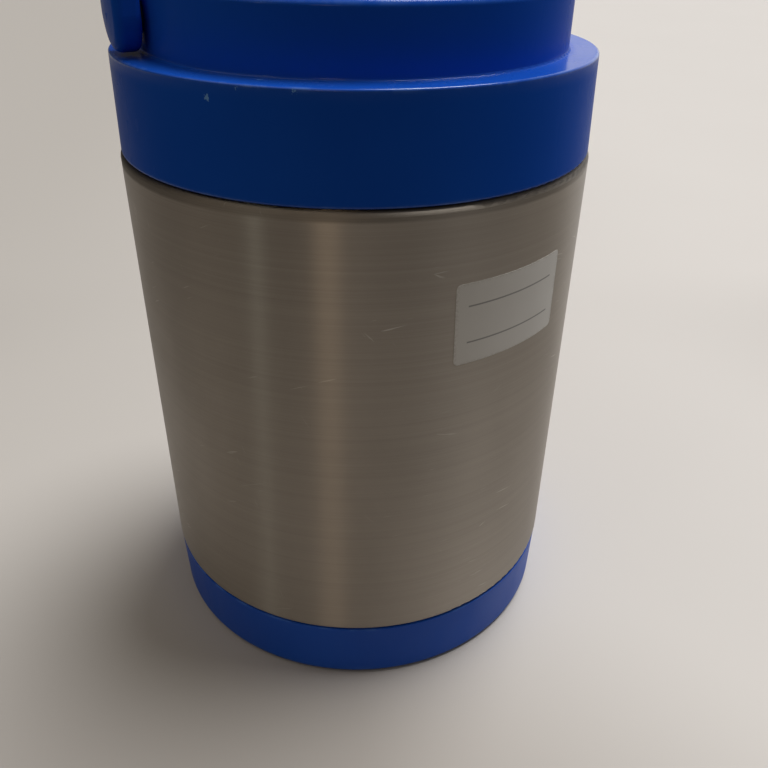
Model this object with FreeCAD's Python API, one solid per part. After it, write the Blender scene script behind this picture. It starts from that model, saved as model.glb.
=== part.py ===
import FreeCAD, Part
import math
import os

V = FreeCAD.Vector
UP = V(0, 0, 1)
ACROSS = V(1, 0, 0)
ORIGIN = V(0, 0, 0)

# overall sizes of the jar
body_r = 60.0            # outside of the steel shell
shoulder_z = 139.8       # top of the steel shoulder, just under the lid
steel_t = 0.7            # sheet of the shell and the bottom
liner_t = 0.6            # sheet of the liner

# neck and vacuum space
shoulder_w = 6.6         # step from the body in to the neck that carries the thread
neck_gap = 0.2           # between the two necks, closed at the rim
rim_t = 0.7              # lip of the liner folded over the shell
shoulder_round = 0.9
liner_corner = 9.0
liner_floor_z = 13.0     # inside of the food space

# bottom and base cap
base_h = 18.8            # visible height of the base cap
base_wall = 2.6
base_floor = 3.0
base_slope = 0.65        # the cap narrows by this much to its foot
base_round = 2.0
foot_w = 7.5             # width of the ring the jar stands on
foot_recess = 0.8
step_gap = 0.3           # glue gap round the stepped-in shell
seam = 0.15              # step where the cap meets the shell
plate_rise = 4.5         # bottom plate above the floor of the cap
plate_round = 2.5
seal_r = 3.5
seal_t = 1.0
seal_hole_r = 1.0
pad_margin = 12.0
getter_r = 5.0
getter_t = 2.2
getter_x = 26.0

# lid cap
lid_gap = 0.6            # dark line between the lid and the shoulder
skirt_h = 22.9           # from the lower edge to the ledge
skirt_top_in = 1.0       # the skirt is this much smaller than the shell at the ledge
skirt_low_in = 0.4       # and this much at its lower edge
ledge_w = 7.1            # from the skirt to the drum
drum_h = 14.3
lid_wall = 2.4
drum_round = 1.4
ledge_round = 0.5
drum_foot_round = 0.5
panel_edge = 6.5         # width of the flat rim round the top panel
panel_depth = 0.7

# threaded collar and stopper
thread_room = 1.8        # from the neck to the collar round it
collar_gap = 0.2
collar_wall = 1.7
collar_flange_w = 0.7
collar_flange_h = 1.4
collar_lip_h = 1.2
collar_lip_w = 1.0
turn_gap = 0.35          # between the stopper and the pieces it turns in
gasket_t = 2.0
gasket_squeeze = 0.05
gasket_w = 3.8
flange_w = 1.5           # flange of the stopper beyond the sealing ring
flange_t = 1.9
plug_depth = 12.6        # stopper below the crest of the mouth
plug_round = 3.0
plug_wall = 2.6
plug_floor = 2.0
plug_rise = 6.6          # stopper above its flange, inside the drum
cover_t = 1.9
cover_seat = 0.8
slip = 0.2               # loose fit between pieces dropped into each other

# handle
handle_w = 16.0
handle_gap = 1.0         # between the handle and the drum
handle_under = 0.6       # between the handle and the ledge
handle_edge = 2.0        # outer edges of the strap
handle_inner_edge = 1.4
pin_r = 1.8
pin_fit = 0.05
pin_grip = 6.0           # pin inside the boss of the drum
pin_reach = 3.6          # pin inside the ear
boss_wall = 2.0
washer_r = 4.2
washer_t = 0.5

# derived levels
neck_r = body_r - shoulder_w
base_top_r = body_r - seam
step_r = base_top_r - base_wall - step_gap
plate_z = base_floor + plate_rise
skirt_low_z = shoulder_z + lid_gap
ledge_z = skirt_low_z + skirt_h
ledge_under_z = ledge_z - lid_wall
drum_top_z = ledge_z + drum_h
skirt_top_r = body_r - skirt_top_in
drum_r = skirt_top_r - ledge_w
liner_out_r = neck_r - steel_t - neck_gap
food_r = liner_out_r - liner_t
flange_z = ledge_under_z - turn_gap - flange_t
gasket_z = flange_z - gasket_t
rim_z = gasket_z - gasket_squeeze
gasket_r = neck_r
plug_r = gasket_r - gasket_w - slip
flange_r = gasket_r + flange_w
plug_in_r = plug_r - plug_wall
plug_z = rim_z - plug_depth
stopper_top_z = flange_z + flange_t + plug_rise
drum_in_r = drum_r - lid_wall
collar_in_r = neck_r + thread_room
collar_r = collar_in_r + collar_wall
skirt_in_r = collar_r + collar_gap
collar_top_z = flange_z - turn_gap
pivot_z = ledge_z + handle_under + handle_w / 2
handle_r = skirt_top_r
handle_in_r = drum_r + handle_gap


def outline(corners):
    """Closed wire in the XZ plane through corners (x, z, rounding)."""
    count = len(corners)
    starts = []
    ends = []
    arcs = []
    for i in range(count):
        x, z, radius = corners[i]
        here = V(x, 0, z)
        if radius <= 0:
            starts.append(here)
            ends.append(here)
            arcs.append(None)
            continue
        before = corners[i - 1]
        after = corners[(i + 1) % count]
        back = (V(before[0], 0, before[1]) - here).normalize()
        ahead = (V(after[0], 0, after[1]) - here).normalize()
        half = back.getAngle(ahead) / 2
        run = radius / math.tan(half)
        middle = (back + ahead).normalize()
        crest = here + middle * (radius / math.sin(half) - radius)
        starts.append(here + back * run)
        ends.append(here + ahead * run)
        arcs.append(crest)
    edges = []
    for i in range(count):
        if arcs[i] is not None:
            edges.append(Part.Arc(starts[i], arcs[i], ends[i]).toShape())
        following = starts[(i + 1) % count]
        if (following - ends[i]).Length > 1e-6:
            edges.append(Part.makeLine(ends[i], following))
    return Part.Wire(edges)


def turned(corners):
    return Part.Face(outline(corners)).revolve(ORIGIN, UP, 360)


def disc(radius, low, high):
    return Part.makeCylinder(radius, high - low, V(0, 0, low))


def bar(radius, start_x, end_x):
    return Part.makeCylinder(radius, end_x - start_x, V(start_x, 0, pivot_z), ACROSS)


def mirrored(shape):
    return shape.mirror(ORIGIN, ACROSS)


def save(shape, name):
    shape.removeSplitter().Solids[0].exportStep("parts/" + name + ".step")


def outer_shell():
    step_z = base_h + seam
    inner = body_r - steel_t
    return turned([
        (step_r, base_floor, 0), (step_r, step_z, 0.5), (body_r, step_z, 0.8 + steel_t),
        (body_r, shoulder_z, shoulder_round), (neck_r, shoulder_z, 1.2),
        (neck_r, rim_z - rim_t, 0), (neck_r - steel_t, rim_z - rim_t, 0),
        (neck_r - steel_t, shoulder_z - steel_t, 1.2 + steel_t),
        (inner, shoulder_z - steel_t, shoulder_round - steel_t),
        (inner, step_z + steel_t, 0.8), (step_r - steel_t, step_z + steel_t, 0.5 + steel_t),
        (step_r - steel_t, base_floor, 0)])


def inner_liner():
    low = liner_floor_z - liner_t
    return turned([
        (0, liner_floor_z, 0), (food_r, liner_floor_z, liner_corner),
        (food_r, rim_z, 0.3), (neck_r + 0.1, rim_z, 0.3), (neck_r + 0.1, rim_z - rim_t, 0),
        (liner_out_r, rim_z - rim_t, 0), (liner_out_r, low, liner_corner + liner_t), (0, low, 0)])


def bottom_plate():
    outside = step_r - steel_t - slip
    top = plate_z + steel_t
    plate = turned([
        (0, plate_z, 0), (outside - steel_t, plate_z, plate_round),
        (outside - steel_t, base_floor + slip, 0), (outside, base_floor + slip, 0),
        (outside, top, plate_round + steel_t), (0, top, 0)])
    return plate.cut(disc(seal_hole_r, base_floor, top + 1))


def seal_button():
    cone = Part.makeCone(seal_r * 0.7, seal_r, seal_t, V(0, 0, plate_z - seal_t))
    return cone.fuse(disc(seal_hole_r - 0.1, plate_z, plate_z + steel_t))


def base_pad():
    ring = disc(step_r - pad_margin, base_floor, plate_z)
    return ring.cut(disc(seal_r + pad_margin / 2, base_floor, plate_z))


def getter():
    pill = Part.makeCylinder(getter_r, getter_t, V(getter_x, 0, plate_z + steel_t))
    return pill.makeChamfer(0.4, [pill.Edges[0]])


def base_cap():
    foot_r = base_top_r - base_slope
    recess_r = foot_r - base_round - foot_w
    inside = base_top_r - base_wall
    return turned([
        (0, foot_recess, 0), (recess_r - foot_recess, foot_recess, 1.0), (recess_r, 0, 0),
        (foot_r, 0, base_round), (base_top_r, base_h, 0.3), (inside, base_h, 0.3),
        (inside, base_floor, 0), (0, base_floor, 0)])


def lid_cap():
    low_r = body_r - skirt_low_in
    panel_r = drum_r - panel_edge
    panel_z = drum_top_z - panel_depth
    rebate_r = collar_r + collar_flange_w + collar_gap
    rebate_z = skirt_low_z + collar_flange_h + slip
    shell = turned([
        (0, panel_z, 0), (panel_r, panel_z, 0.8), (panel_r + panel_depth * 2, drum_top_z, 0.8),
        (drum_r, drum_top_z, drum_round), (drum_r, ledge_z, drum_foot_round),
        (skirt_top_r, ledge_z, ledge_round), (low_r, skirt_low_z, 0.5),
        (rebate_r, skirt_low_z, 0.2), (rebate_r, rebate_z, 0), (skirt_in_r, rebate_z, 0),
        (skirt_in_r, ledge_under_z, 0.8), (drum_in_r, ledge_under_z, 0.5),
        (drum_in_r, panel_z - lid_wall, 1.0), (0, panel_z - lid_wall, 0)])
    return shell.fuse([pin_boss(), mirrored(pin_boss())]).cut([pin_hole(), mirrored(pin_hole())])


def pin_boss():
    """Block under the top of the drum that holds one handle pin."""
    radius = pin_r + boss_wall
    start = drum_r - pin_grip - boss_wall
    end = drum_r - lid_wall / 2
    web = Part.makeBox(end - start, 2 * radius, radius, V(start, -radius, pivot_z))
    room = disc(end, pivot_z - radius, drum_top_z - panel_depth - lid_wall / 2)
    return bar(radius, start, end).fuse(web).common(room)


def pin_hole():
    return bar(pin_r + pin_fit / 2, drum_r - pin_grip, drum_r + 1)


def thread_collar():
    lip_r = collar_in_r - collar_lip_w
    low = skirt_low_z + slip
    return turned([
        (collar_r, collar_top_z, 0.3), (lip_r, collar_top_z, 0.3),
        (lip_r, collar_top_z - collar_lip_h, 0.3), (collar_in_r, collar_top_z - collar_lip_h, 0.3),
        (collar_in_r, low, 0.4), (collar_r + collar_flange_w, low, 0.2),
        (collar_r + collar_flange_w, low + collar_flange_h, 0), (collar_r, low + collar_flange_h, 0)])


def stopper_dish():
    top = stopper_top_z
    flange_top = flange_z + flange_t
    upper_r = plug_in_r + plug_wall * 0.7
    return turned([
        (0, plug_z, 0), (plug_r, plug_z, plug_round), (plug_r, flange_z, 0.2),
        (flange_r, flange_z, 0.3), (flange_r, flange_top, 0.3), (upper_r, flange_top, 0.4),
        (upper_r, top, 0.3), (plug_in_r + cover_seat, top, 0),
        (plug_in_r + cover_seat, top - cover_t, 0), (plug_in_r, top - cover_t, 0),
        (plug_in_r, plug_z + plug_floor, 0), (0, plug_z + plug_floor, 0)])


def stopper_foam():
    return disc(plug_in_r - slip, plug_z + plug_floor, stopper_top_z - cover_t - 0.1)


def stopper_cover():
    radius = plug_in_r + cover_seat - slip
    top = stopper_top_z
    return turned([
        (0, top - cover_t, 0), (radius, top - cover_t, 0), (radius, top, 0.3),
        (radius * 0.4, top, 0), (radius * 0.36, top - cover_t / 3, 0), (0, top - cover_t / 3, 0)])


def sealing_ring():
    return turned([
        (plug_r + slip, gasket_z, 0.5), (gasket_r, gasket_z, 0.5),
        (gasket_r, flange_z, 0.3), (plug_r + slip, flange_z, 0.3)])


def strap_half():
    """Half of the handle's cross-section, its outside on the round of the lid."""
    half = handle_w / 2
    edge = handle_edge
    small = handle_inner_edge
    mid_x = math.sqrt((handle_r - edge) ** 2 - (half - edge) ** 2)
    lean = math.atan2(half - edge, mid_x)
    bend = (lean + math.pi / 2) / 2
    near = small * (1 - math.sqrt(0.5))

    def point(x, y):
        return V(x, y, pivot_z)

    def crown(angle):
        return point(handle_r * math.cos(angle), handle_r * math.sin(angle))

    edges = [
        Part.makeLine(point(handle_in_r, 0), point(handle_in_r, half - small)),
        Part.Arc(point(handle_in_r, half - small), point(handle_in_r + near, half - near),
                 point(handle_in_r + small, half)).toShape(),
        Part.makeLine(point(handle_in_r + small, half), point(mid_x, half)),
        Part.Arc(point(mid_x, half),
                 point(mid_x + edge * math.cos(bend), half - edge + edge * math.sin(bend)),
                 crown(lean)).toShape(),
        Part.Arc(crown(lean), crown(lean / 2), crown(0)).toShape(),
        Part.makeLine(crown(0), point(handle_in_r, 0))]
    return Part.Face(Part.Wire(edges))


def handle():
    """Bow over the lid; each end is the same section turned about its pin."""
    half = strap_half()
    pivot = V(0, 0, pivot_z)
    near_bow = half.revolve(pivot, V(0, -1, 0), 180)
    far_bow = near_bow.mirror(pivot, V(0, 1, 0))
    ear = half.revolve(pivot, ACROSS, -180)
    body = near_bow.fuse([far_bow, ear, mirrored(ear)]).removeSplitter()
    hole = bar(pin_r + pin_fit, handle_in_r - 1, handle_in_r + pin_reach + 0.4)
    return body.cut([hole, mirrored(hole)])


def pin():
    rod = bar(pin_r, drum_r - pin_grip + 0.1, handle_in_r + pin_reach)
    return rod.makeChamfer(0.3, rod.Edges[::2])


def washer():
    ring = bar(washer_r, drum_r + 0.1, drum_r + 0.1 + washer_t)
    return ring.cut(bar(pin_r + pin_fit, drum_r, drum_r + 1))


os.makedirs("parts", exist_ok=True)
save(outer_shell(), "outer_shell")
save(inner_liner(), "inner_liner")
save(bottom_plate(), "bottom_plate")
save(seal_button(), "seal_button")
save(getter(), "getter")
save(base_pad(), "base_pad")
save(base_cap(), "base_cap")
save(lid_cap(), "lid_cap")
save(thread_collar(), "thread_collar")
save(stopper_dish(), "stopper_dish")
save(stopper_foam(), "stopper_foam")
save(stopper_cover(), "stopper_cover")
save(sealing_ring(), "sealing_ring")
save(handle(), "handle")
save(pin(), "pin_right")
save(mirrored(pin()), "pin_left")
save(washer(), "washer_right")
save(mirrored(washer()), "washer_left")
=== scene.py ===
from math import atan2, cos, hypot, pi, radians, sin, tau

import bmesh
import bpy
from mathutils import Matrix, Vector


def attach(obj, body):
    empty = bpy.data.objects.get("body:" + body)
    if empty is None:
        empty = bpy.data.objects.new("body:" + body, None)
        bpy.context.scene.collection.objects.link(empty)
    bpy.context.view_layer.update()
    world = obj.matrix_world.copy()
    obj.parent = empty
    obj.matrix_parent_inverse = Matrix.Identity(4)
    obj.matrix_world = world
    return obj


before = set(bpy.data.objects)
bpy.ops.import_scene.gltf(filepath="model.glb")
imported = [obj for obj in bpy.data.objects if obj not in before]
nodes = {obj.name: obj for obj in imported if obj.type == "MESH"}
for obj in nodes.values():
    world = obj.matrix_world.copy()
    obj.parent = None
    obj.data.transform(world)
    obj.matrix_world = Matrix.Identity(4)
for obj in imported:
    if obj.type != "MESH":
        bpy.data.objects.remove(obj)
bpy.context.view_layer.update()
scene = bpy.context.scene
print("frame loaded:", len(nodes), "nodes")


# small helpers for node trees

def put(tree, kind, inputs=None, **settings):
    node = tree.nodes.new(kind)
    for key, value in settings.items():
        setattr(node, key, value)
    for key, value in (inputs or {}).items():
        if isinstance(value, bpy.types.NodeSocket):
            tree.links.new(value, node.inputs[key])
        else:
            node.inputs[key].default_value = value
    return node


def maths(tree, operation, first, second=0.0, clamp=False):
    return put(tree, "ShaderNodeMath", {0: first, 1: second}, operation=operation,
               use_clamp=clamp).outputs[0]


def vectorMaths(tree, operation, *inputs):
    node = put(tree, "ShaderNodeVectorMath", dict(enumerate(inputs)), operation=operation)
    givesNumber = operation in ("LENGTH", "DISTANCE", "DOT_PRODUCT")
    return node.outputs["Value" if givesNumber else "Vector"]


def remap(tree, value, low, high, newLow=0.0, newHigh=1.0):
    return put(tree, "ShaderNodeMapRange", {"Value": value, "From Min": low, "From Max": high,
               "To Min": newLow, "To Max": newHigh}, interpolation_type="SMOOTHSTEP").outputs[0]


def blendColour(tree, factor, first, second):
    ends = [end if isinstance(end, bpy.types.NodeSocket) else (*end, 1) for end in (first, second)]
    node = put(tree, "ShaderNodeMix", {0: factor, 6: ends[0], 7: ends[1]}, data_type="RGBA")
    return node.outputs[2]


def noise(tree, vector, scale, detail=2.0, roughness=0.5):
    return put(tree, "ShaderNodeTexNoise", {"Vector": vector, "Scale": scale, "Detail": detail,
               "Roughness": roughness}).outputs[0]


def stretched(tree, vector, scale):
    return put(tree, "ShaderNodeMapping", {"Vector": vector, "Scale": scale}).outputs[0]


def addShare(tree, start, mask, share):
    return maths(tree, "ADD", start, maths(tree, "MULTIPLY", mask, share))


def strongest(tree, masks):
    top = masks[0]
    for mask in masks[1:]:
        top = maths(tree, "MAXIMUM", top, mask)
    return top


def newGroup(name, takes, gives):
    group = bpy.data.node_groups.new(name, "ShaderNodeTree")
    for label, value in takes.items():
        kind = "NodeSocketVector" if value is None else "NodeSocketFloat"
        socket = group.interface.new_socket(label, in_out="INPUT", socket_type=kind)
        if value is not None:
            socket.default_value = value
    for label in gives:
        group.interface.new_socket(label, in_out="OUTPUT", socket_type="NodeSocketFloat")
    start = group.nodes.new("NodeGroupInput")
    end = group.nodes.new("NodeGroupOutput")
    return group, start.outputs, end.inputs


def place(tree, group, inputs):
    return put(tree, "ShaderNodeGroup", inputs, node_tree=group).outputs


def newMaterial(name, **plain):
    material = bpy.data.materials.new(name)
    material.use_nodes = True
    tree = material.node_tree
    tree.nodes.clear()
    end = put(tree, "ShaderNodeOutputMaterial")
    shader = put(tree, "ShaderNodeBsdfPrincipled")
    tree.links.new(shader.outputs[0], end.inputs["Surface"])
    for key, value in plain.items():
        shader.inputs[key.replace("_", " ")].default_value = value
    spot = put(tree, "ShaderNodeTexCoord").outputs["Object"]
    return material, tree, shader, spot


def bumped(tree, shader, height, strength, distance):
    bump = put(tree, "ShaderNodeBump", {"Height": height, "Strength": strength,
                                        "Distance": distance})
    tree.links.new(bump.outputs[0], shader.inputs["Normal"])


def dress(material, *names):
    for name in names:
        mesh = nodes[name].data
        mesh.materials.clear()
        mesh.materials.append(material)


# brushed lines that run round the body: short across, long along
def makeBrushing():
    group, take, give = newGroup("brushedLines", {"Vector": None, "Fine": 2600.0, "Along": 14.0},
                                 ["Lines", "Broad"])
    fineScale = put(group, "ShaderNodeCombineXYZ",
                    {0: take["Along"], 1: take["Along"], 2: take["Fine"]}).outputs[0]
    fineSpot = vectorMaths(group, "MULTIPLY", take["Vector"], fineScale)
    fine = noise(group, fineSpot, 1.0, detail=3.0, roughness=0.6)
    broadScale = (5.0, 5.0, 700.0)
    broadSpot = stretched(group, take["Vector"], broadScale)
    broad = noise(group, broadSpot, 1.0, detail=3.0, roughness=0.6)
    group.links.new(remap(group, fine, 0.25, 0.75), give["Lines"])
    group.links.new(remap(group, broad, 0.3, 0.7), give["Broad"])
    return group


# thin scratches in one direction, broken up so that only a few show
def makeScratches():
    group, take, give = newGroup("thinScratches", {"Vector": None, "Turn": 0.0, "Size": 90.0,
                                                   "Rarity": 0.66}, ["Mask"])
    lineScale = (1.0, 1.0, 26.0)
    softEdge = 0.035
    patchSize = 55.0
    turned = put(group, "ShaderNodeVectorRotate", {"Vector": take["Vector"], "Angle": take["Turn"]},
                 rotation_type="X_AXIS").outputs[0]
    drawn = vectorMaths(group, "MULTIPLY", turned, lineScale)
    line = noise(group, drawn, take["Size"], roughness=0.45)
    high = maths(group, "ADD", take["Rarity"], softEdge)
    mask = put(group, "ShaderNodeMapRange", {"Value": line, "From Min": take["Rarity"],
                                             "From Max": high}).outputs[0]
    patch = remap(group, noise(group, take["Vector"], patchSize), 0.5, 0.62)
    group.links.new(maths(group, "MULTIPLY", mask, patch), give["Mask"])
    return group


# a round edge of given radius and height: a mask broken up by wear, and the whole rim
def makeRingWear():
    group, take, give = newGroup("ringWear", {"Vector": None, "Radius": 0.06, "Height": 0.1,
                                              "Width": 0.001}, ["Mask", "Rim"])
    wearSize = 160.0
    parts = put(group, "ShaderNodeSeparateXYZ", {0: take["Vector"]}).outputs
    flat = put(group, "ShaderNodeCombineXYZ", {0: parts[0], 1: parts[1]}).outputs[0]
    out = maths(group, "SUBTRACT", vectorMaths(group, "LENGTH", flat), take["Radius"])
    up = maths(group, "SUBTRACT", parts[2], take["Height"])
    offset = put(group, "ShaderNodeCombineXYZ", {0: out, 1: up}).outputs[0]
    away = maths(group, "DIVIDE", vectorMaths(group, "LENGTH", offset), take["Width"])
    near = maths(group, "SUBTRACT", 1.0, away, clamp=True)
    wear = noise(group, take["Vector"], wearSize, detail=4.0, roughness=0.65)
    broken = remap(group, wear, 0.44, 0.66)
    group.links.new(maths(group, "MULTIPLY", near, broken), give["Mask"])
    group.links.new(remap(group, near, 0.0, 0.6), give["Rim"])
    return group


# moulded plastic skin: slow tone shift, fine grain, long smears
def makeSkin():
    group, take, give = newGroup("mouldedSkin", {"Vector": None, "Grain": 2400.0},
                                 ["Tone", "Grain", "Smear"])
    toneSize = 16.0
    smearScale = (60.0, 60.0, 22.0)
    slow = noise(group, take["Vector"], toneSize)
    grain = noise(group, take["Vector"], take["Grain"], roughness=0.6)
    smearSpot = stretched(group, take["Vector"], smearScale)
    smear = noise(group, smearSpot, 1.0, detail=4.0, roughness=0.6)
    group.links.new(remap(group, slow, 0.3, 0.7), give["Tone"])
    group.links.new(grain, give["Grain"])
    group.links.new(remap(group, smear, 0.4, 0.7), give["Smear"])
    return group


# one small knock in the surface at a given point, its edge ragged
def makeKnock():
    group, take, give = newGroup("smallKnock", {"Vector": None, "Centre": None, "Size": 0.002},
                                 ["Mask"])
    raggedSize = 1500.0
    raggedReach = (0.002, 0.002, 0.002)
    middle = (0.5, 0.5, 0.5)
    ragged = put(group, "ShaderNodeTexNoise", {"Vector": take["Vector"],
                                               "Scale": raggedSize}).outputs["Color"]
    centred = vectorMaths(group, "SUBTRACT", ragged, middle)
    shaken = vectorMaths(group, "MULTIPLY_ADD", centred, raggedReach, take["Vector"])
    far = vectorMaths(group, "DISTANCE", shaken, take["Centre"])
    near = maths(group, "DIVIDE", far, take["Size"])
    group.links.new(remap(group, near, 0.7, 1.0, 1.0, 0.0), give["Mask"])
    return group


brushing = makeBrushing()
scratches = makeScratches()
ringWear = makeRingWear()
skin = makeSkin()
knock = makeKnock()
print("shared effects ready")


def scratched(tree, spot, turn, size, rarity):
    return place(tree, scratches, {"Vector": spot, "Turn": turn, "Size": size,
                                   "Rarity": rarity})["Mask"]


def ringAt(tree, spot, radius, height, width):
    return place(tree, ringWear, {"Vector": spot, "Radius": radius, "Height": height,
                                  "Width": width})


def steelSheet(name, look):
    material, tree, shader, spot = newMaterial(name, Metallic=1.0, Anisotropic=look["stretch"],
                                               Anisotropic_Rotation=0.25)
    lines = place(tree, brushing, {"Vector": spot, "Fine": look["fine"], "Along": look["along"]})
    fineTone = maths(tree, "MULTIPLY", lines["Lines"], look["fineShare"])
    tone = addShare(tree, fineTone, lines["Broad"], 1.0 - look["fineShare"])
    colour = blendColour(tree, tone, look["dark"], look["light"])
    marks = strongest(tree, [scratched(tree, spot, turn, size, look["rarity"] + rarer)
                             for turn, size, rarer in look["marks"]])
    shown = maths(tree, "MULTIPLY", marks, look["markShow"])
    tree.links.new(blendColour(tree, shown, colour, look["markTone"]), shader.inputs["Base Color"])
    smudge = noise(tree, spot, look["smudgeSize"], detail=4.0, roughness=0.6)
    smudge = remap(tree, smudge, 0.42, 0.66)
    rough = addShare(tree, look["rough"], lines["Broad"], look["broadRough"])
    rough = addShare(tree, rough, smudge, look["smudgeRough"])
    for ring in look["dullRims"]:
        rough = addShare(tree, rough, ringAt(tree, spot, *ring)["Rim"], look["rimRough"])
    tree.links.new(rough, shader.inputs["Roughness"])
    height = maths(tree, "SUBTRACT", lines["Lines"], marks)
    bumped(tree, shader, height, look["bump"], look["depth"])
    roundAxis = put(tree, "ShaderNodeTangent", direction_type="RADIAL", axis="Z").outputs[0]
    tree.links.new(roundAxis, shader.inputs["Tangent"])
    return material


# marks: turn, size, how much rarer; rims: radius, height, width
shellLook = {"dark": (0.348, 0.311, 0.271), "light": (0.405, 0.364, 0.318), "fineShare": 0.6,
             "rough": 0.33, "broadRough": 0.02, "smudgeRough": 0.03, "smudgeSize": 26.0,
             "stretch": 1.0, "fine": 5200.0, "along": 9.0, "bump": 0.12, "depth": 0.00002,
             "marks": [(0.5, 70.0, 0.0), (1.9, 95.0, 0.02)], "rarity": 0.71,
             "markShow": 0.4, "markTone": (0.92, 0.9, 0.86),
             "dullRims": [(0.0597, 0.1396, 0.0024)], "rimRough": 0.3}
linerLook = dict(shellLook, dark=(0.62, 0.605, 0.585), light=(0.70, 0.685, 0.67), rough=0.24,
                 stretch=0.45, fine=2600.0, along=8.0, rarity=0.73, bump=0.1, dullRims=[])
shellSteel = steelSheet("shellSteel", shellLook)
linerSteel = steelSheet("linerSteel", linerLook)
dress(shellSteel, "outer_shell")
dress(linerSteel, "inner_liner", "bottom_plate")


def bluePlastic(name, look):
    material, tree, shader, spot = newMaterial(name, Specular_IOR_Level=look["gloss"], IOR=1.49,
                                               Coat_Roughness=0.18, Coat_IOR=1.5)
    face = place(tree, skin, {"Vector": spot, "Grain": look["grain"]})
    colour = blendColour(tree, face["Tone"], look["deep"], look["bright"])
    rings = [ringAt(tree, spot, *ring)["Mask"] for ring in look["edges"]]
    lines = scratched(tree, spot, look["markTurn"], look["markSize"], look["rarity"])
    worn = strongest(tree, rings + [lines])
    shown = maths(tree, "MULTIPLY", worn, look["wearShow"])
    colour = blendColour(tree, shown, colour, look["rubbed"])
    if look["shine"]:
        rims = [maths(tree, "MULTIPLY", ringAt(tree, spot, *ring)["Rim"], polish)
                for *ring, polish in look["shine"]]
        tree.links.new(strongest(tree, rims), shader.inputs["Coat Weight"])
    height = face["Grain"]
    if look["knocks"]:
        dents = [place(tree, knock, {"Vector": spot, "Centre": centre, "Size": size})["Mask"]
                 for centre, size in look["knocks"]]
        dented = strongest(tree, dents)
        shown = maths(tree, "MULTIPLY", dented, look["knockShow"])
        colour = blendColour(tree, shown, colour, look["knockTone"])
        height = addShare(tree, height, dented, -look["knockDepth"])
    tree.links.new(colour, shader.inputs["Base Color"])
    rough = addShare(tree, look["rough"], face["Smear"], look["smearRough"])
    tree.links.new(addShare(tree, rough, worn, look["wearRough"]), shader.inputs["Roughness"])
    bumped(tree, shader, height, look["bump"], look["depth"])
    return material


# edges and shine: radius, height, width, and for shine the strength; knocks: centre, size
lidLook = {"deep": (0.008, 0.083, 0.52), "bright": (0.012, 0.101, 0.59),
           "rubbed": (0.10, 0.24, 0.68), "rough": 0.24, "smearRough": 0.09, "wearRough": 0.12,
           "gloss": 0.01, "grain": 2600.0, "bump": 0.1, "depth": 0.00003,
           "markTurn": 0.9, "markSize": 60.0, "rarity": 0.79, "wearShow": 0.5,
           "edges": [(0.0590, 0.1633, 0.0011), (0.0519, 0.1776, 0.0013), (0.0596, 0.1404, 0.0010)],
           "shine": [(0.0590, 0.1633, 0.0009, 0.9), (0.0519, 0.1776, 0.0016, 0.35),
                     (0.0519, 0.1633, 0.0012, 0.5), (0.0596, 0.1404, 0.0008, 0.7),
                     (0.0558, 0.1633, 0.0046, 0.55)],
           "knocks": [((-0.0481, -0.0345, 0.1602), 0.0008), ((-0.0437, -0.0399, 0.1623), 0.0004),
                      ((-0.0351, -0.0477, 0.1625), 0.0005), ((-0.0383, -0.0378, 0.1633), 0.0005)],
           "knockShow": 0.85, "knockTone": (0.22, 0.47, 0.88), "knockDepth": 6.0}
handleLook = dict(lidLook, edges=[], shine=[], knocks=[], wearShow=0.35)
baseLook = dict(lidLook, rough=0.4, gloss=0.2, shine=[], bump=0.3, grain=1900.0, knocks=[],
                edges=[(0.0592, 0.0006, 0.0022), (0.0598, 0.0188, 0.0008)])
lidBlue = bluePlastic("lidBlue", lidLook)
handleBlue = bluePlastic("handleBlue", handleLook)
baseBlue = bluePlastic("baseBlue", baseLook)
dress(lidBlue, "lid_cap", "thread_collar")
dress(handleBlue, "handle")
dress(baseBlue, "base_cap")


def palePlastic(name, look):
    material, tree, shader, spot = newMaterial(name, Roughness=look["rough"],
                                               Subsurface_Weight=look["glow"],
                                               Subsurface_Scale=0.002)
    face = place(tree, skin, {"Vector": spot, "Grain": look["grain"]})
    colour = blendColour(tree, face["Tone"], look["deep"], look["bright"])
    tree.links.new(colour, shader.inputs["Base Color"])
    bumped(tree, shader, face["Grain"], look["bump"], look["depth"])
    return material


stopperLook = {"deep": (0.50, 0.51, 0.53), "bright": (0.60, 0.61, 0.63), "rough": 0.42,
               "glow": 0.0, "grain": 1800.0, "bump": 0.25, "depth": 0.00004}
sealLook = dict(stopperLook, deep=(0.66, 0.67, 0.67), bright=(0.76, 0.77, 0.77), rough=0.5,
                glow=0.25, grain=900.0, bump=0.1)
foamLook = dict(stopperLook, deep=(0.70, 0.70, 0.67), bright=(0.82, 0.82, 0.79), rough=0.85,
                glow=0.1, grain=700.0, bump=0.9)
washerLook = dict(stopperLook, deep=(0.012, 0.012, 0.014), bright=(0.02, 0.02, 0.022), rough=0.5,
                  grain=2500.0, bump=0.2)
dress(palePlastic("stopperGrey", stopperLook), "stopper_dish", "stopper_cover")
dress(palePlastic("sealWhite", sealLook), "sealing_ring")
dress(palePlastic("foamWhite", foamLook), "stopper_foam", "base_pad")
dress(palePlastic("washerDark", washerLook), "washer_left", "washer_right")


def smallMetal(name, look):
    material, tree, shader, spot = newMaterial(name, Metallic=1.0)
    speckle = noise(tree, spot, look["speckle"], detail=3.0, roughness=0.6)
    colour = blendColour(tree, speckle, look["deep"], look["bright"])
    tree.links.new(colour, shader.inputs["Base Color"])
    rough = addShare(tree, look["rough"], speckle, look["speckleRough"])
    tree.links.new(rough, shader.inputs["Roughness"])
    bumped(tree, shader, speckle, look["bump"], look["depth"])
    return material


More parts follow.
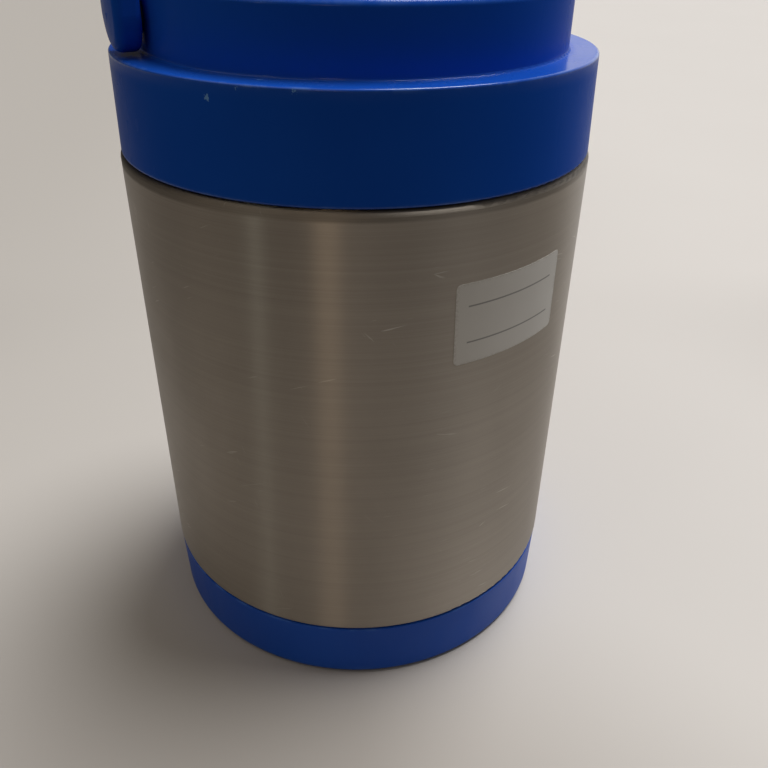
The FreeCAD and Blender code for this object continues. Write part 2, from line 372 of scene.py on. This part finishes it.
pinLook = {"deep": (0.5, 0.5, 0.5), "bright": (0.68, 0.68, 0.67), "rough": 0.18,
           "speckle": 1400.0, "speckleRough": 0.1, "bump": 0.2, "depth": 0.00003}
solderLook = dict(pinLook, deep=(0.3, 0.3, 0.29), bright=(0.5, 0.5, 0.48), rough=0.45)
getterLook = dict(pinLook, deep=(0.05, 0.05, 0.055), bright=(0.12, 0.12, 0.125), rough=0.6)
dress(smallMetal("pinSteel", pinLook), "pin_left", "pin_right")
dress(smallMetal("sealSolder", solderLook), "seal_button")
dress(smallMetal("getterMetal", getterLook), "getter")
print("finishes ready")


def newObject(name, shape, material):
    mesh = bpy.data.meshes.new(name)
    shape.to_mesh(mesh)
    shape.free()
    mesh.materials.append(material)
    item = bpy.data.objects.new(name, mesh)
    scene.collection.objects.link(item)
    return item


def addPiece(name, shape, body, material):
    piece = newObject(name, shape, material)
    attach(piece, body)


def turnShape(shape, verts, angle):
    bmesh.ops.rotate(shape, verts=verts, cent=(0, 0, 0), matrix=Matrix.Rotation(angle, 3, "Z"))


# screw threads: ridges that climb as they go round, with ends that run out
def threadRidges(look):
    shape = bmesh.new()
    root, tip = look["root"], look["tip"]
    low, high = look["foot"] / 2, look["crest"] / 2
    corners = [(root, -low), (tip, -high), (tip, high), (root, low)]
    shape.faces.new([shape.verts.new((radius, 0, look["start"] + rise))
                     for radius, rise in corners])
    sweep = radians(look["sweep"])
    climb = look["lead"] * sweep / tau / look["steps"]
    bmesh.ops.spin(shape, geom=shape.verts[:] + shape.edges[:] + shape.faces[:], cent=(0, 0, 0),
                   axis=(0, 0, 1), dvec=(0, 0, climb), angle=sweep, steps=look["steps"],
                   use_merge=False)
    for corner in shape.verts:
        reach = hypot(corner.co.x, corner.co.y)
        along = (atan2(corner.co.y, corner.co.x) % tau) / sweep
        along = 0.0 if along > look["pastEnd"] else along  # the first ring can read as a full turn
        fade = min(1.0, along / look["runOut"], (1.0 - along) / look["runOut"])
        wanted = root + (reach - root) * max(fade, look["leastFade"]) ** look["fadeCurve"]
        corner.co.x *= wanted / reach
        corner.co.y *= wanted / reach
    first = shape.verts[:] + shape.edges[:] + shape.faces[:]
    for turn in range(1, look["starts"]):
        copy = bmesh.ops.duplicate(shape, geom=first)["geom"]
        verts = [item for item in copy if isinstance(item, bmesh.types.BMVert)]
        turnShape(shape, verts, tau * turn / look["starts"])
    turnShape(shape, shape.verts[:], radians(look["turn"]))
    bmesh.ops.recalc_face_normals(shape, faces=shape.faces[:])
    for face in shape.faces:
        face.smooth = True
    return shape


neckThread = {"root": 0.0532, "tip": 0.0546, "foot": 0.0024, "crest": 0.0011, "start": 0.1428,
              "lead": 0.015, "sweep": 215.0, "steps": 86, "starts": 3, "turn": 0.0,
              "runOut": 0.09, "leastFade": 0.02, "fadeCurve": 0.6, "pastEnd": 1.2}
lidThread = dict(neckThread, root=0.0554, tip=0.0540, start=0.1440, sweep=235.0, steps=94,
                 turn=-31.2)
addPiece("neck_thread", threadRidges(neckThread), "jar", shellSteel)
addPiece("lid_thread", threadRidges(lidThread), "lid", lidBlue)
print("threads cut")


# bare shop sticker on the steel, with rounded corners and a slight slant
stickerLook = {"width": 0.0334, "height": 0.0203, "corner": 0.00121, "cornerSteps": 5,
               "grid": (28, 12), "azimuth": 12.0, "centre": 0.1125, "slant": 1.1,
               "radius": 0.06004, "thick": 0.00012, "crispAngle": 0.6,
               "dim": (0.77, 0.76, 0.74), "pale": (0.85, 0.84, 0.82),
               "grime": (0.45, 0.42, 0.38), "grimeShow": 0.35, "cloudSize": 90.0,
               "fibreSize": 1500.0, "rough": 0.42, "fibreRough": 0.16,
               "bump": 0.2, "depth": 0.00003,
               "rules": (0.72, 0.27), "ruleHalf": (0.006, 0.012), "ruleEnd": (0.40, 0.405),
               "ruleTone": (0.16, 0.16, 0.17), "ruleShow": 0.7}


def stickerPaper(look):
    material, tree, shader, spot = newMaterial("stickerPaper", Specular_IOR_Level=0.4, IOR=1.45)
    flat = put(tree, "ShaderNodeUVMap", uv_map="flat").outputs[0]
    across, up, _ = put(tree, "ShaderNodeSeparateXYZ", {0: flat}).outputs

    def distance(value, level):
        return maths(tree, "ABSOLUTE", maths(tree, "SUBTRACT", value, level))

    fibre = noise(tree, spot, look["fibreSize"], detail=3.0, roughness=0.6)
    cloud = noise(tree, spot, look["cloudSize"])
    colour = blendColour(tree, cloud, look["dim"], look["pale"])
    aside = distance(across, 0.5)
    rim = strongest(tree, [aside, distance(up, 0.5)])
    grubby = maths(tree, "MULTIPLY", remap(tree, rim, 0.46, 0.5), remap(tree, fibre, 0.4, 0.6))
    grubby = maths(tree, "MULTIPLY", grubby, look["grimeShow"])
    colour = blendColour(tree, grubby, colour, look["grime"])
    inside = remap(tree, aside, *look["ruleEnd"], 1.0, 0.0)
    for level in look["rules"]:
        line = remap(tree, distance(up, level), *look["ruleHalf"], 1.0, 0.0)
        shown = maths(tree, "MULTIPLY", maths(tree, "MULTIPLY", line, inside), look["ruleShow"])
        colour = blendColour(tree, shown, colour, look["ruleTone"])
    tree.links.new(colour, shader.inputs["Base Color"])
    rough = addShare(tree, look["rough"], fibre, look["fibreRough"])
    tree.links.new(rough, shader.inputs["Roughness"])
    bumped(tree, shader, fibre, look["bump"], look["depth"])
    return material


def stickerShape(look):
    shape = bmesh.new()
    columns, rows = look["grid"]
    bmesh.ops.create_grid(shape, x_segments=columns, y_segments=rows, size=0.5)
    tips = [corner for corner in shape.verts if min(abs(corner.co.x), abs(corner.co.y)) > 0.49]
    bmesh.ops.scale(shape, vec=(look["width"], look["height"], 1), verts=shape.verts[:])
    bmesh.ops.bevel(shape, geom=tips, offset=look["corner"], offset_type="OFFSET",
                    segments=look["cornerSteps"], profile=0.5, affect="VERTICES", material=-1)
    flat = shape.loops.layers.uv.new("flat")
    for face in shape.faces:
        face.smooth = True
        for loop in face.loops:
            spot = loop.vert.co
            loop[flat].uv = (spot.x / look["width"] + 0.5, spot.y / look["height"] + 0.5)
    turnShape(shape, shape.verts[:], radians(look["slant"]))
    radius = look["radius"]
    for corner in shape.verts:  # wrapped round the shell
        angle = radians(look["azimuth"] - 90) + corner.co.x / radius
        corner.co = Vector((radius * cos(angle), radius * sin(angle), look["centre"] + corner.co.y))
    bmesh.ops.recalc_face_normals(shape, faces=shape.faces[:])
    bmesh.ops.solidify(shape, geom=shape.faces[:], thickness=-look["thick"])
    bmesh.ops.recalc_face_normals(shape, faces=shape.faces[:])
    for edge in shape.edges:
        edge.smooth = edge.calc_face_angle(0.0) < look["crispAngle"]  # crisp cut edge
    return shape


addPiece("bare_sticker", stickerShape(stickerLook), "jar",
         stickerPaper(stickerLook))
print("sticker placed")


# floor, light and camera
cameraLook = {"lens": 36.8, "sensor": 36.0, "clip": 0.01, "distance": 0.21083, "height": 0.19318,
              "azimuth": -25.0, "yaw": -0.0382, "pitch": -0.5533, "roll": -0.0131}
# the floor colours hold painted light and shade: a left-to-right gradient, a painted shadow in
# front, painted shade beyond a lit pool, and darker painted colours for the light and reflections
# the floor gives
stageLook = {"left": (0.475, 0.455, 0.435), "right": (0.69, 0.67, 0.66), "sideSpan": 0.3,
             "front": (0.37, 0.345, 0.325), "frontSpan": (-0.05, 0.13),
             "frontLean": 0.25, "frontFan": 0.65, "beyond": (0.23, 0.217, 0.203),
             "beyondSpan": (0.18, 0.50), "beyondSide": (-0.24, -0.06),
             "dimLeft": (0.22, 0.20, 0.18), "dimRight": (0.33, 0.315, 0.30),
             "dimFront": (0.04, 0.036, 0.032), "dimSpan": (0.07, 0.27), "mirrorDim": 0.35,
             "mottleSize": 6.0, "mottle": 0.08, "rough": 0.6, "gloss": 0.1, "size": 40.0}


def around(azimuth, elevation):
    swing, rise = radians(azimuth), radians(elevation)
    return Vector((sin(swing) * cos(rise), -cos(swing) * cos(rise), sin(rise)))


# a pale table with painted light and shade: darker on the left and lighter on the right, a painted
# shadow on the near side and painted shade beyond a lit pool; the light it gives the jar is painted
# dimmer than it looks
def addFloor(look):
    material, tree, shader, spot = newMaterial("paleFloor", Roughness=look["rough"],
                                               Specular_IOR_Level=look["gloss"])
    across = vectorMaths(tree, "DOT_PRODUCT", spot, around(cameraLook["azimuth"] + 90, 0))
    ahead = vectorMaths(tree, "DOT_PRODUCT", spot, around(cameraLook["azimuth"], 0))
    # painted light: the floor colour runs from darker on the left to lighter on the right, standing
    # in for how the light falls
    side = remap(tree, across, -look["sideSpan"], look["sideSpan"])
    aside = maths(tree, "ABSOLUTE", across)
    seen = blendColour(tree, side, look["left"], look["right"])
    # painted shadow: the floor colour darkens in a fan in front of the jar, towards the camera side
    near = addShare(tree, ahead, across, -look["frontLean"])
    near = addShare(tree, near, aside, -look["frontFan"])
    seen = blendColour(tree, remap(tree, near, *look["frontSpan"]), seen, look["front"])
    mottle = noise(tree, spot, look["mottleSize"], detail=3.0)
    seen = blendColour(tree, maths(tree, "MULTIPLY", mottle, look["mottle"]), seen, look["left"])
    # painted shade: beyond a lit pool on the camera side the floor colour turns darker
    edge = remap(tree, vectorMaths(tree, "LENGTH", spot), *look["beyondSpan"])
    edge = maths(tree, "MULTIPLY", edge, remap(tree, ahead, *look["beyondSide"]))
    seen = blendColour(tree, edge, seen, look["beyond"])
    # painted shade: the colour that bounce light off the floor carries is painted darker than the
    # floor looks, darkest in front
    shadedBounce = blendColour(tree, side, look["dimLeft"], look["dimRight"])
    shadedBounce = blendColour(tree, remap(tree, ahead, *look["dimSpan"]), shadedBounce, look["dimFront"])
    path = put(tree, "ShaderNodeLightPath").outputs
    # painted shade in reflections: glossy rays see more of the darker painted colour towards the
    # sides
    mirrorShare = remap(tree, aside, 0.0, look["sideSpan"], 1.0, look["mirrorDim"])
    mirrored = maths(tree, "MULTIPLY", path["Is Glossy Ray"], mirrorShare)
    direct = maths(tree, "ADD", path["Is Camera Ray"], mirrored, clamp=True)
    tree.links.new(blendColour(tree, direct, shadedBounce, seen), shader.inputs["Base Color"])
    shape = bmesh.new()
    bmesh.ops.create_grid(shape, x_segments=8, y_segments=8, size=look["size"] / 2)
    newObject("floor", shape, material)


def addLamp(name, look):
    lamp = bpy.data.lights.new(name, "SUN")
    lamp.angle = radians(look["spread"])
    lamp.energy = look["power"]
    lamp.color = look["tint"]
    item = bpy.data.objects.new(name, lamp)
    scene.collection.objects.link(item)
    item.location = around(look["azimuth"], look["elevation"])
    item.rotation_euler = (-item.location).to_track_quat("-Z", "Y").to_euler()


# one soft main light, a warm fill, and two faint lights that draw the streaks on the steel
lamps = {
    "windowLight": {"azimuth": 98.0, "elevation": 69.0, "spread": 30.0, "power": 2.64,
                    "tint": (1.0, 0.985, 0.96)},
    "roomGlow": {"azimuth": -100.0, "elevation": 58.0, "spread": 60.0, "power": 0.36,
                 "tint": (1.0, 0.86, 0.68)},
    "warmStreak": {"azimuth": -39.0, "elevation": 18.0, "spread": 13.0, "power": 0.10,
                   "tint": (1.0, 0.78, 0.55)},
    "paleStreak": {"azimuth": -74.0, "elevation": 20.0, "spread": 6.0, "power": 0.045,
                   "tint": (0.94, 1.0, 0.9)},
}
worldLook = {"near": (0.046, 0.042, 0.038), "far": (0.2, 0.19, 0.175), "farSpan": (0.15, 0.95),
             "azimuth": 85.0, "elevation": 66.0,
             "wall": (0.85, 0.85, 0.85), "wallSpan": (0.76, 0.97),
             "wallAzimuth": 127.0, "wallElevation": 13.0, "backdrop": (0.5, 0.485, 0.465)}


# dim room behind the camera, brighter beyond the jar, and a plain backdrop for the camera alone
def addWorld(look):
    world = bpy.data.worlds.new("softRoom")
    world.use_nodes = True
    tree = world.node_tree
    way = put(tree, "ShaderNodeTexCoord").outputs["Generated"]
    toWindow = vectorMaths(tree, "DOT_PRODUCT", way, around(look["azimuth"], look["elevation"]))
    colour = blendColour(tree, remap(tree, toWindow, *look["farSpan"]), look["near"], look["far"])
    wallWay = around(look["wallAzimuth"], look["wallElevation"])
    toWall = vectorMaths(tree, "DOT_PRODUCT", way, wallWay)
    colour = blendColour(tree, remap(tree, toWall, *look["wallSpan"]), colour, look["wall"])
    straight = put(tree, "ShaderNodeLightPath").outputs["Is Camera Ray"]
    colour = blendColour(tree, straight, colour, look["backdrop"])
    tree.links.new(colour, tree.nodes["Background"].inputs["Color"])
    scene.world = world


addFloor(stageLook)
for name, look in lamps.items():
    addLamp(name, look)
addWorld(worldLook)


def addCamera(look):
    lens = bpy.data.cameras.new("photoCamera")
    lens.sensor_width = look["sensor"]
    lens.lens = look["lens"]
    lens.clip_start = look["clip"]
    camera = bpy.data.objects.new("photoCamera", lens)
    scene.collection.objects.link(camera)
    spot = around(look["azimuth"], 0) * look["distance"]
    spot.z = look["height"]
    swing = Matrix.Rotation(radians(look["azimuth"]) + look["yaw"], 4, "Z")
    tilt = Matrix.Rotation(pi / 2 + look["pitch"], 4, "X")
    roll = Matrix.Rotation(-look["roll"], 4, "Z")
    camera.matrix_world = Matrix.Translation(spot) @ swing @ tilt @ roll
    scene.camera = camera


addCamera(cameraLook)
scene.view_settings.view_transform = "Standard"
print("stage set")
